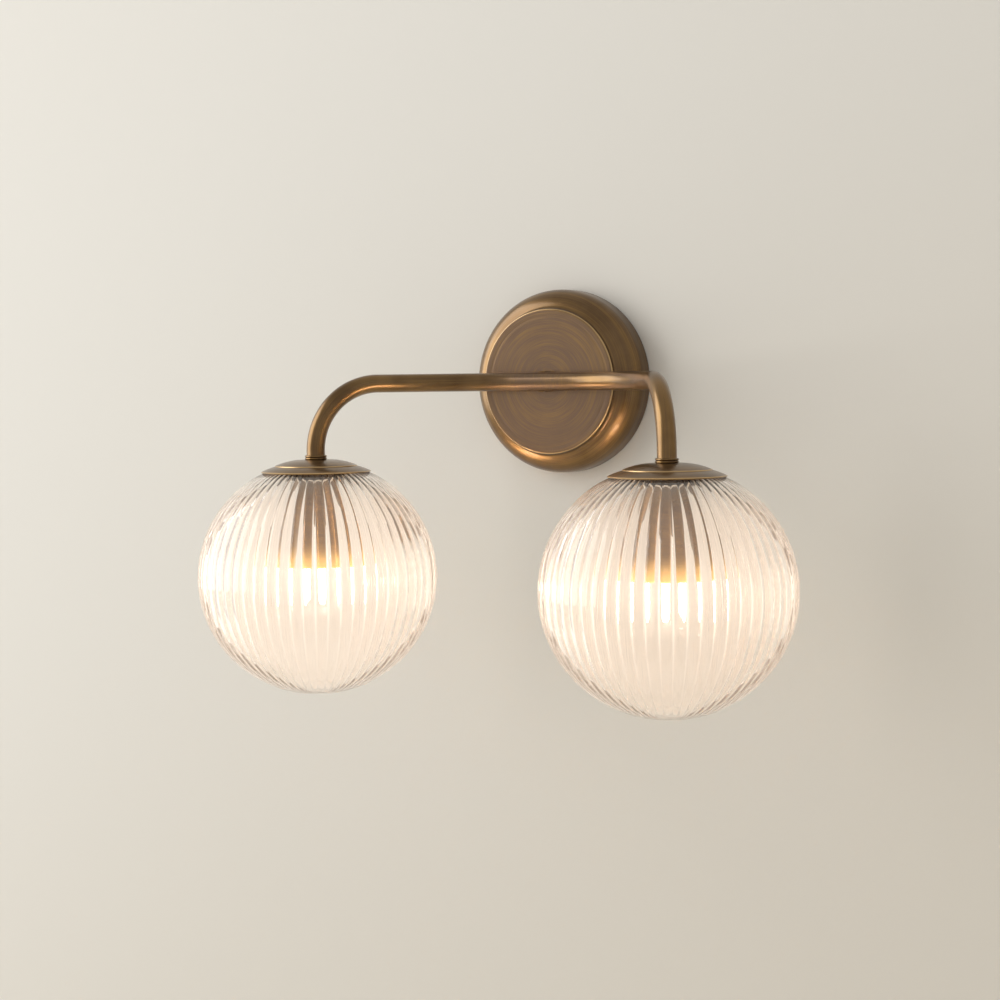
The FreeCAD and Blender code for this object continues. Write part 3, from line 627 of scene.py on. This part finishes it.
def cap_outline():
    rim_radius = reach("left_cap")
    run = CAP_LEDGE - CAP_FLAT
    dome_radius = (run ** 2 + CAP_DOME_FALL ** 2) / (2 * CAP_DOME_FALL)
    dome = (CAP_FLAT, CAP_TOP - dome_radius)
    dome_end = 90 - math.degrees(math.asin(run / dome_radius))
    ledge = CAP_TOP - CAP_DOME_FALL - CAP_STEP
    rim = ledge - CAP_BRIM_FALL
    brim, first, last = bulging_arc((CAP_LEDGE + CAP_STEP / 2, ledge), (rim_radius, rim), CAP_CURVE)
    drawn = Outline(NIPPLE_HOLE, CAP_TOP).line(CAP_FLAT, CAP_TOP, 2)
    drawn.arc(dome, dome_radius, 90, dome_end, 20).mark()
    drawn.arc(brim, CAP_CURVE, first, last + CAP_BRIM_EXTRA_DEG, 12).mark()
    for inward, down in CAP_RIM_STEPS:
        drawn.line(rim_radius - inward, rim - down)
    drawn.arc(brim, CAP_CURVE - CAP_SHEET, last, first, 6)
    drawn.arc(dome, dome_radius - CAP_SHEET, dome_end, 90, 10)
    return drawn.line(NIPPLE_HOLE, CAP_TOP - CAP_SHEET)


def collar_outline():
    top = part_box("left_collar")[1].z
    outer = reach("left_collar")
    bead = (TUBE_END - CAP_TOP) / 4
    drawn = Outline(NIPPLE_HOLE, top).line(COLLAR_SPIGOT, top).line(COLLAR_SPIGOT, TUBE_END)
    for level in (TUBE_END - bead, TUBE_END - 3 * bead):
        drawn.arc((outer - bead, level), bead, 90, -90, 14)
    return drawn.line(NIPPLE_HOLE, CAP_TOP)


def cup_outline():
    outer = reach("left_cup")
    corner_radius = outer - CAP_FLAT
    corner = (CAP_FLAT, CUP_TOP - corner_radius)
    mouth = CUP_MOUTH + CUP_EDGE
    drawn = Outline(NIPPLE_HOLE, CUP_TOP)
    drawn.arc(corner, corner_radius, 90, 0, 14)
    drawn.line(outer, mouth, 24).mark()
    drawn.arc((outer - CUP_EDGE, mouth), CUP_EDGE, 0, -90, 3)
    drawn.arc((outer - CUP_WALL + CUP_EDGE, mouth), CUP_EDGE, -90, -180, 3)
    drawn.line(outer - CUP_WALL, CUP_TOP - corner_radius, 12)
    drawn.arc(corner, corner_radius - CUP_WALL, 0, 90, 10)
    return drawn.line(NIPPLE_HOLE, CUP_TOP - CUP_WALL)


def ring_outline():
    low, high = (corner.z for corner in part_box("left_neck_ring"))
    bore = reach("left_cup") + RING_PLAY
    flange = reach("left_neck_ring")
    barrel = flange - RING_FLANGE
    under = high - RING_SHEET
    drawn = Outline(bore, high).line(flange, high).line(flange, under).line(barrel, under)
    for turn in range(THREAD_TURNS):
        level = low + THREAD_TOP - THREAD_PITCH * turn
        drawn.arc((barrel - THREAD_ROOT, level), THREAD_RADIUS, 90, -90, 8)
    return drawn.line(barrel - THREAD_RELIEF, low).line(bore, low)


# %% Finishes of caps and cups
# Painted light: a warm glow given off by the cup's lower end
CUP_PAINTED_GLOW = (0.92, 0.51, 0.15, 1)
CUP_GLOW_REACH = 22 * MM


def cup_brass(marks):
    """The lamp's light, thrown back by the glass, is painted on as a warm glow on the cup's lower end.
    """
    paint = antique_brass("antique_brass_cup", 0.5 * MM, 0.55, 0.38, worn_lit_edges_at=marks,
                          Emission_Strength=1.0)
    height = paint.split(paint.place())[2]
    warm = height.smooth(CUP_MOUTH + CUP_GLOW_REACH, CUP_MOUTH)
    return paint.feed(Emission_Color=paint.mix(warm * warm, NO_GLOW, CUP_PAINTED_GLOW))


BRASS_CAP = antique_brass("antique_brass_cap", gold_share=0.45, worn_lit_edges_at=cap_outline().marks).material
BRASS_CUP = cup_brass(cup_outline().marks)

# %% Turn them on both drops
CAP_SIDES = 160
COLLAR_SIDES = 72
CUP_SIDES = 112
CRISP_DEG = 50      # beads and threads keep only their real corners sharp

for side in SIDES:
    place = Matrix.Translation(DROP[side])
    globe_body = f"{side}_globe"
    make_piece(f"{side}_cap_shell", lathe(f"{side}_cap_shell", cap_outline(), CAP_SIDES, place),
               "fixture", [f"{side}_cap"], BRASS_CAP)
    make_piece(f"{side}_collar_turned",
               lathe(f"{side}_collar_turned", collar_outline(), COLLAR_SIDES, place, CRISP_DEG),
               "fixture", [f"{side}_collar"], BRASS_TURNED)
    make_piece(f"{side}_cup_drawn", lathe(f"{side}_cup_drawn", cup_outline(), CUP_SIDES, place),
               "fixture", [f"{side}_cup"], BRASS_CUP)
    make_piece(f"{side}_ring_turned",
               lathe(f"{side}_ring_turned", ring_outline(), CUP_SIDES, place, CRISP_DEG),
               globe_body, [f"{side}_neck_ring"], BRASS_RING)


# %% [markdown]
# ## The lamp
#
# A small push-in lamp stands in the holder: a round base with two flats and a frosted capsule. The
# capsule is turned; its lower end is a dome. It glows, so its finish gives off light.

# %% Lamp capsules
BULB_SHOULDER = 1.2 * MM
BULB_SIDES = 64


def bulb_outline():
    outer = reach("left_lamp_bulb")
    flat = outer - BULB_SHOULDER
    drawn = Outline(0, BULB_HIGH).line(flat, BULB_HIGH, 2)
    drawn.arc((flat, BULB_HIGH - BULB_SHOULDER), BULB_SHOULDER, 90, 0, 6)
    drawn.line(outer, BULB_LOW + outer, 8)
    return drawn.arc((0, BULB_LOW + outer), outer, 0, -90, 16)


for side in SIDES:
    place = Matrix.Translation(DROP[side])
    make_piece(f"{side}_lamp_capsule", lathe(f"{side}_lamp_capsule", bulb_outline(), BULB_SIDES, place),
               f"{side}_lamp", [f"{side}_lamp_bulb"], LAMP_GLASS)


# %% [markdown]
# ## Geometry Nodes helpers
#
# The tube follows a path and the globes follow a rule, so both are made with Geometry Nodes. A tree
# is built with named inputs, and a modifier's input is set by its socket's identifier. The result is
# turned into a plain mesh, because the finished piece must carry no live modifier.

# %% Build, run and bake a geometry tree
def geometry_tree(name, titles):
    """An empty tree with named number inputs. Returns the tree, the inputs as terms and the group."""
    group = bpy.data.node_groups.new(name, "GeometryNodeTree")
    group.interface.new_socket("Geometry", in_out="INPUT", socket_type="NodeSocketGeometry")
    for title in titles:
        group.interface.new_socket(title, in_out="INPUT", socket_type="NodeSocketFloat")
    group.interface.new_socket("Geometry", in_out="OUTPUT", socket_type="NodeSocketGeometry")
    tree = Tree(group)
    entry = tree.add("NodeGroupInput").socket.node
    given = {title: tree.of(entry, title) for title in ("Geometry", *titles)}
    return tree, given, group


def close_tree(tree, geometry, material):
    """Every tree ends in plain geometry with its material set."""
    real = tree.add("GeometryNodeRealizeInstances", None, {"Geometry": geometry})
    dressed = tree.add("GeometryNodeSetMaterial", None, {"Geometry": real, "Material": material})
    tree.add("NodeGroupOutput", None, {"Geometry": dressed}, None)


def capture(tree, geometry, field):
    """Keep a field's values on a geometry, so that later nodes can read them."""
    node = tree.add("GeometryNodeCaptureAttribute", None, {"Geometry": geometry}).socket.node
    node.capture_items.new("FLOAT", "Kept")
    tree.put(node, "Kept", field)
    return tree.of(node, "Geometry"), tree.of(node, "Kept")


def store_grain(tree, geometry, value):
    """Write the grain attribute that the finishes read."""
    settings = {"data_type": "FLOAT_VECTOR", "domain": "POINT"}
    return tree.add("GeometryNodeStoreNamedAttribute", settings,
                    {"Geometry": geometry, "Name": "grain", "Value": value})


def run_tree(name, source, group, values):
    """The mesh that a tree makes from a source object's geometry and a set of named values."""
    carrier = bpy.data.objects.new(f"{name}_carrier", source)
    bpy.context.scene.collection.objects.link(carrier)
    modifier = carrier.modifiers.new(name, "NODES")
    modifier.node_group = group
    for item in group.interface.items_tree:
        if item.in_out == "INPUT" and item.name in values:
            modifier[item.identifier] = values[item.name]
    settled = carrier.evaluated_get(bpy.context.evaluated_depsgraph_get())
    mesh = bpy.data.meshes.new_from_object(settled)
    bpy.data.objects.remove(carrier)
    mesh.name = name
    return mesh


WELD = 1e-6


def tidy_mesh(mesh, place=None, sharp_deg=60):
    """Weld doubles, drop loose edges, turn faces outwards and shade smooth."""
    work = bmesh.new()
    work.from_mesh(mesh)
    bmesh.ops.remove_doubles(work, verts=work.verts, dist=WELD)
    bmesh.ops.delete(work, geom=[edge for edge in work.edges if not edge.link_faces], context="EDGES")
    if place is not None:
        bmesh.ops.transform(work, matrix=place, verts=work.verts)
    bmesh.ops.recalc_face_normals(work, faces=work.faces)
    work.to_mesh(mesh)
    open_edges = sum(1 for edge in work.edges if len(edge.link_faces) != 2)
    work.free()
    mesh.shade_smooth()
    mesh.set_sharp_from_angle(angle=math.radians(sharp_deg))
    print(f"{mesh.name}: {len(mesh.vertices)} vertices, {len(mesh.loop_triangles)} triangles,",
          f"open edges {open_edges}")
    return mesh


# %% [markdown]
# ## The bow arm
#
# One brass tube is bent four times: two wide bends sweep it forward, two tight ones turn its ends
# down. Its centreline is six corners with a fillet at each bend, which is what the Fillet Curve node
# does. A circle is swept along it. Capture Attribute notes the way along and round for the grain.

# %% Corners of the centreline
BOW_RADIUS = 95.0 * MM
BOW_ANGLE = math.radians(54.0)
DROP_RADIUS = 42.0 * MM
ARM_STRAIGHT = 18.0 * MM
ARM_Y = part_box("bow_arm")[1].y - TUBE_RADIUS
BEND_STEPS = 56
TUBE_SIDES = 56


def arm_corners():
    bend_x = ARM_STRAIGHT + BOW_RADIUS * math.tan(BOW_ANGLE / 2)
    drop = DROP["right"]
    right = [Vector((bend_x, ARM_Y, 0)), Vector((drop.x, drop.y, 0)),
             Vector((drop.x, drop.y, TUBE_END))]
    return [Vector((-p.x, p.y, p.z)) for p in reversed(right)] + right


def corner_curve(name, corners):
    curve = bpy.data.curves.new(name, "CURVE")
    curve.dimensions = "3D"
    spline = curve.splines.new("POLY")
    spline.points.add(len(corners) - 1)
    for point, corner in zip(spline.points, corners):
        point.co = (*corner, 1)
    return curve


# %% Tree that bends and sweeps the tube
def bent_tube_tree(material):
    """Corners 2 and 3, counted from 0, are the wide bends; the others are tight."""
    tree, given, group = geometry_tree("bent_tube", ("Tube Radius", "Wide Bend", "Tight Bend"))
    place = tree.add("GeometryNodeInputIndex")
    wide = (place > 1.5) * (place < 3.5)
    bend = given["Tight Bend"] + (given["Wide Bend"] - given["Tight Bend"]) * wide
    path = tree.add("GeometryNodeFilletCurve", {"mode": "POLY"},
                    {"Curve": given["Geometry"], "Radius": bend,
                     "Count": BEND_STEPS, "Limit Radius": False})
    noted, along = capture(tree, path, tree.add("GeometryNodeSplineParameter", None, None, "Length"))
    circle = tree.add("GeometryNodeCurvePrimitiveCircle", None,
                      {"Resolution": TUBE_SIDES, "Radius": given["Tube Radius"]})
    marked, turn = capture(tree, circle, tree.add("GeometryNodeSplineParameter", None, None, "Factor"))
    tube = tree.add("GeometryNodeCurveToMesh", None,
                    {"Curve": noted, "Profile Curve": marked, "Fill Caps": True})
    angle = turn * (2 * math.pi)
    grain = tree.join(angle.cos(), angle.sin(), along)
    close_tree(tree, store_grain(tree, tube, grain), material)
    return group


# %% Sweep the arm
corners = arm_corners()
straight_total = sum((after - before).length for before, after in zip(corners, corners[1:]))
corner_saving = 2 * (2 * BOW_RADIUS * math.tan(BOW_ANGLE / 2) - BOW_RADIUS * BOW_ANGLE)
corner_saving += 2 * (2 * DROP_RADIUS - DROP_RADIUS * math.pi / 2)
ARM_LENGTH = straight_total - corner_saving
BRASS_TUBE = tube_brass(ARM_LENGTH)
arm_mesh = run_tree("arm_tube", corner_curve("arm_corners", corners), bent_tube_tree(BRASS_TUBE),
                    {"Tube Radius": TUBE_RADIUS, "Wide Bend": BOW_RADIUS, "Tight Bend": DROP_RADIUS})
make_piece("arm_tube", tidy_mesh(arm_mesh, sharp_deg=40),
           "fixture", ["bow_arm"], BRASS_TUBE)


# %% [markdown]
# ## Ribbed globes
#
# A globe is pressed glass: outside, 60 broad rounded ribs with narrow valleys between them run from
# neck to base and die away towards the poles; inside it is smooth. Such a form is a rule, so a flat
# grid is rolled up by formula. Across the grid runs the way round. Up the grid runs the outline: down
# the outer face, across the pole, up the inner face and over the neck's rim, back to where it began.
# The grain attribute of a globe holds in x how deep in a valley each point of the outside lies.

# %% Globe sizes
GLOBE_RADIUS = 75.0 * MM
GLOBE_HALF = 73.6 * MM
GLOBE_BELOW_CAP = 73.9 * MM
GLASS_WALL = 3.0 * MM
NECK_RADIUS = 17.3 * MM
NECK_LAND = 1.3 * MM
NECK_SINK = 2.8 * MM
SHOULDER_REACH = 44.0 * MM
BASE_RADIUS = 14.5 * MM
RIB_COUNT = 60
RIB_DEPTH = 1.1 * MM
RIB_SAMPLES = 12
VALLEY_SHARPNESS = 1.7      # above 1 the valleys are narrower than the ridges between them
LOWER_FADE = 0.5            # how much faster the ribs die away below the middle than above it
OUTER_ROWS = 78
INNER_ROWS = 40


# %% Tree that rolls a grid into a ribbed globe
def globe_tree(material):
    """Rows up to OUTER_ROWS are the outside, the next are the inside, and the last closes the rim."""
    tree, given, group = geometry_tree("ribbed_globe", (
        "Radius", "Half Height", "Wall", "Neck Radius", "Neck Land", "Neck Sink", "Shoulder Reach",
        "Base Radius", "Rib Depth", "Ribs"))
    rows = OUTER_ROWS + INNER_ROWS + 1
    grid = tree.add("GeometryNodeMeshGrid", None, {"Size X": 1.0, "Size Y": 1.0, "Vertices Y": rows + 1,
                                                   "Vertices X": RIB_COUNT * RIB_SAMPLES + 1}, "Mesh")
    across, up, _ = tree.split(tree.add("GeometryNodeInputPosition"))
    angle = (across + 0.5) * (2 * math.pi)
    row = (up + 0.5) * rows
    inner = (row > OUTER_ROWS + 0.5) * (row < rows - 0.5)
    closing = row > rows - 0.5
    outer_share = (row / OUTER_ROWS).least(1) * (1 - closing)
    inner_share = ((row - OUTER_ROWS - 1) / (INNER_ROWS - 1)).most(0).least(1)
    half_width = given["Radius"] - given["Wall"] * inner
    half_height = given["Half Height"] - given["Wall"] * inner
    outer_start = ((given["Neck Radius"] + given["Neck Land"]) / given["Radius"]).arcsine()
    inner_end = (given["Neck Radius"] / (given["Radius"] - given["Wall"])).arcsine()
    outer_turn = outer_start + (math.pi - outer_start) * outer_share
    inner_turn = math.pi - (math.pi - inner_end) * inner_share
    turn = outer_turn * (1 - inner) + inner_turn * inner
    width = half_width * turn.sin()
    height = half_height * turn.cos()
    shoulder = given["Shoulder Reach"]
    near_neck = ((shoulder - width) / (shoulder - given["Neck Radius"])).most(0)
    height = height - given["Neck Sink"] * near_neck * near_neck * (turn < math.pi / 2)
    base_share = given["Base Radius"] / given["Radius"]
    floor = (1 - base_share * base_share).root() * given["Half Height"]
    height = height.most(given["Wall"] * inner - floor)
    dip = (1 - abs((angle * given["Ribs"] / 2).cos())) ** VALLEY_SHARPNESS
    fade = turn.sin() ** (1 + (turn > math.pi / 2) * LOWER_FADE)
    width = width - given["Rib Depth"] * dip * fade * (1 - inner)
    valley = dip * (1 - inner) * turn.sin()
    noted = store_grain(tree, grid, tree.join(valley, 0.0, 0.0))
    place = tree.join(width * angle.cos(), width * angle.sin(), height)
    rolled = tree.add("GeometryNodeSetPosition", None, {"Geometry": noted, "Position": place})
    welded = tree.add("GeometryNodeMergeByDistance", None, {"Geometry": rolled, "Distance": WELD})
    close_tree(tree, welded, material)
    return group


# %% Make one globe and place it on both drops
globe_values = {"Radius": GLOBE_RADIUS, "Half Height": GLOBE_HALF, "Wall": GLASS_WALL,
                "Neck Radius": NECK_RADIUS, "Neck Land": NECK_LAND, "Neck Sink": NECK_SINK,
                "Shoulder Reach": SHOULDER_REACH, "Base Radius": BASE_RADIUS,
                "Rib Depth": RIB_DEPTH, "Ribs": float(RIB_COUNT)}
globe_group = globe_tree(GLASS)
for side in SIDES:
    empty_mesh = bpy.data.meshes.new("globe_start")
    mesh = run_tree(f"{side}_globe_ribbed", empty_mesh, globe_group, globe_values)
    place = Matrix.Translation(DROP[side] + Vector((0, 0, CAP_TOP - GLOBE_BELOW_CAP)))
    make_piece(f"{side}_globe_ribbed", tidy_mesh(mesh, place),
               f"{side}_globe", [f"{side}_globe"], GLASS)

# %% [markdown]
# ## Finishes on the carried nodes
#
# The working pieces keep their own solids, which already have the right shape. Each gets its finish by
# its material slot.

# %% Dress the nodes that stay
NODE_FINISH = {"wall_bracket": ZINC, "earth_washer": ZINC, "earth_screw": BRIGHT_BRASS,
               "terminal_block": NYLON, "terminal_screws": BRIGHT_BRASS, "rose_screws": BRASS_PLAIN,
               "rose_stem": ZINC, "stem_washer": ZINC, "stem_nut": ZINC, "arm_boss": BRASS_PLAIN}
SIDE_FINISH = {"nipple": ZINC, "cap_nut": ZINC, "lampholder": CERAMIC, "lamp_base": CERAMIC,
               "lamp_pins": NICKEL, "neck_gasket": SILICONE, "lead": SLEEVE}
for side in SIDES:
    NODE_FINISH.update({f"{side}_{name}": finish for name, finish in SIDE_FINISH.items()})
for name, finish in NODE_FINISH.items():
    node = frame["nodes"][name]
    if not node.material_slots:
        node.data.materials.append(finish)
    for slot in node.material_slots:
        slot.material = finish
print(len(NODE_FINISH), "nodes dressed")


# %% [markdown]
# ## Wall, light and camera
#
# The light hangs on a pale wall, so the backdrop is a wall just behind it. From behind, the wall is
# left out by its Backfacing output, so that the back of the object can be seen too. Behind the rose it
# lets all but the camera's own rays through, so that light reaches the hollow of the rose. Seen from
# the side, its far end beside the window would be too bright, so the camera sees that end darker. The
# camera has the photo's view: from the right, level with the arm, through a long lens.

# %% Wall
WALL_SHADED = (0.67, 0.632, 0.560, 1)
WALL_LIT = (0.757, 0.744, 0.702, 1)
WALL_FAR = (0.27, 0.265, 0.25, 1)
FADE_UP, FADE_ACROSS, FADE_SHIFT = 0.64, 0.40, 0.5
FADE_START, FADE_END = 0.05, 0.78
FAR_START, FAR_END = -0.62, -1.6
ROLLER_DEPTH = 0.1 * MM
HOLLOW_RADIUS = ROSE_RADIUS - 2 * MM


def wall_paint():
    """Painted light: paler towards the window at the upper left, darker and warmer at the lower right,
    with the faint texture of a paint roller.
    """
    paint = Finish("wall_paint", Roughness=0.85, Specular_IOR_Level=0.25)
    across, _, up = paint.split(paint.place())
    # Painted light fall-off across the wall, from the lit upper left to the shaded lower right.
    fade = (up * FADE_UP - across * FADE_ACROSS + FADE_SHIFT).smooth(FADE_START, FADE_END)
    seen = paint.ray("Is Camera Ray")
    colour = paint.mix(fade, WALL_SHADED, WALL_LIT)
    colour = paint.mix(across.smooth(FAR_START, FAR_END) * seen, colour, WALL_FAR)
    rough = paint.noise(paint.place(), 160.0, 4.0)
    paint.feed(Base_Color=colour, Normal=paint.bump(rough, ROLLER_DEPTH, 0.2))
    hollow = ((across * across + up * up) < HOLLOW_RADIUS ** 2) * (1 - seen)
    return paint.let_through(hollow.most(paint.add("ShaderNodeNewGeometry", None, None, "Backfacing")))


def floor_paint():
    paint = Finish("floor_paint", Roughness=0.6)
    drift = paint.noise(paint.place(), 3.0, 3.0)
    return paint.feed(Base_Color=paint.mix(drift, (0.60, 0.58, 0.54, 1), (0.64, 0.62, 0.58, 1)))


def flat_stage(name, corners, material):
    mesh = bpy.data.meshes.new(name)
    mesh.from_pydata(corners, [], [(0, 1, 2, 3)])
    mesh.materials.append(material)
    stage = bpy.data.objects.new(name, mesh)
    bpy.context.scene.collection.objects.link(stage)
    return stage


HALF = 3.0
WALL_Y = 0.6 * MM
FLOOR_Z = -1.4
wall = flat_stage("wall", [(-HALF, WALL_Y, -HALF), (HALF, WALL_Y, -HALF),
                           (HALF, WALL_Y, HALF), (-HALF, WALL_Y, HALF)], wall_paint())
flat_stage("floor", [(-HALF, WALL_Y - HALF, FLOOR_Z), (HALF, WALL_Y - HALF, FLOOR_Z),
                     (HALF, WALL_Y, FLOOR_Z), (-HALF, WALL_Y, FLOOR_Z)], floor_paint())


# %% The lamps' glow stays off the wall
glow_on = bpy.data.collections.new("lit_by_the_lamps")
bpy.context.scene.collection.children.link(glow_on)
for piece in list(bpy.context.scene.collection.objects):
    if piece.type == "MESH" and piece is not wall:
        glow_on.objects.link(piece)
for node in frame["nodes"].values():
    if node.name not in glow_on.objects:
        glow_on.objects.link(node)
for side in SIDES:
    bpy.data.objects[f"{side}_lamp_capsule"].light_linking.receiver_collection = glow_on

# %% Lights
WINDOW_PLACE = Vector((-2.9, -1.45, 0.95))
WINDOW_TARGET = Vector((0, -0.06, -0.06))
WINDOW_WIDTH, WINDOW_HEIGHT = 3.2, 3.4
WINDOW_POWER = 118
WINDOW_COLOUR = (1.0, 0.985, 0.96)
ROOM_COLOUR = (1.0, 0.97, 0.93, 1)
ROOM_STRENGTH = 0.60


def light_window():
    """A big soft window to the left. It is hidden where it would show through the glass."""
    data = bpy.data.lights.new("window_left", "AREA")
    data.shape = "RECTANGLE"
    data.size, data.size_y = WINDOW_WIDTH, WINDOW_HEIGHT
    data.energy = WINDOW_POWER
    data.color = WINDOW_COLOUR
    window = bpy.data.objects.new("window_left", data)
    window.location = WINDOW_PLACE
    window.rotation_euler = (WINDOW_TARGET - WINDOW_PLACE).to_track_quat("-Z", "Y").to_euler()
    window.visible_transmission = False
    bpy.context.scene.collection.objects.link(window)


def light_room():
    """An even pale light from all round, as a room's walls and ceiling give."""
    world = bpy.data.worlds.new("soft_room")
    world.use_nodes = True
    background = world.node_tree.nodes["Background"]
    background.inputs["Color"].default_value = ROOM_COLOUR
    background.inputs["Strength"].default_value = ROOM_STRENGTH
    bpy.context.scene.world = world


light_window()
light_room()
print("lights:", ", ".join(light.name for light in bpy.data.lights))

# %% Camera
CAMERA_DISTANCE = 1.3619
CAMERA_AZIMUTH = math.radians(27.56)
CAMERA_HEIGHT = math.radians(0.09)
CAMERA_YAW = math.radians(29.43)
CAMERA_PITCH = math.radians(3.29)
CAMERA_ROLL = math.radians(-0.70)
SENSOR_WIDTH = 36.0
FOCAL_PIXELS = 2110.3       # in a picture PICTURE_PIXELS wide
PICTURE_PIXELS = 1000


def aim_camera():
    flat = CAMERA_DISTANCE * math.cos(CAMERA_HEIGHT)
    eye = Vector((flat * math.sin(CAMERA_AZIMUTH), -flat * math.cos(CAMERA_AZIMUTH),
                  CAMERA_DISTANCE * math.sin(CAMERA_HEIGHT)))
    ahead = Vector((-math.sin(CAMERA_YAW) * math.cos(CAMERA_PITCH),
                    math.cos(CAMERA_YAW) * math.cos(CAMERA_PITCH),
                    -math.sin(CAMERA_PITCH)))
    right = Vector((math.cos(CAMERA_YAW), math.sin(CAMERA_YAW), 0))
    up = right.cross(ahead)
    level_right = right * math.cos(CAMERA_ROLL) + up * math.sin(CAMERA_ROLL)
    level_up = up * math.cos(CAMERA_ROLL) - right * math.sin(CAMERA_ROLL)
    data = bpy.data.cameras.new("photo_camera")
    data.lens = SENSOR_WIDTH * FOCAL_PIXELS / PICTURE_PIXELS
    data.sensor_width = SENSOR_WIDTH
    camera = bpy.data.objects.new("photo_camera", data)
    turn = Matrix((level_right, level_up, -ahead)).transposed().to_4x4()
    camera.matrix_world = Matrix.Translation(eye) @ turn
    bpy.context.scene.collection.objects.link(camera)
    bpy.context.scene.camera = camera


aim_camera()
bpy.context.scene.view_settings.view_transform = "Standard"
print("camera at", [round(v, 3) for v in bpy.context.scene.camera.matrix_world.translation])
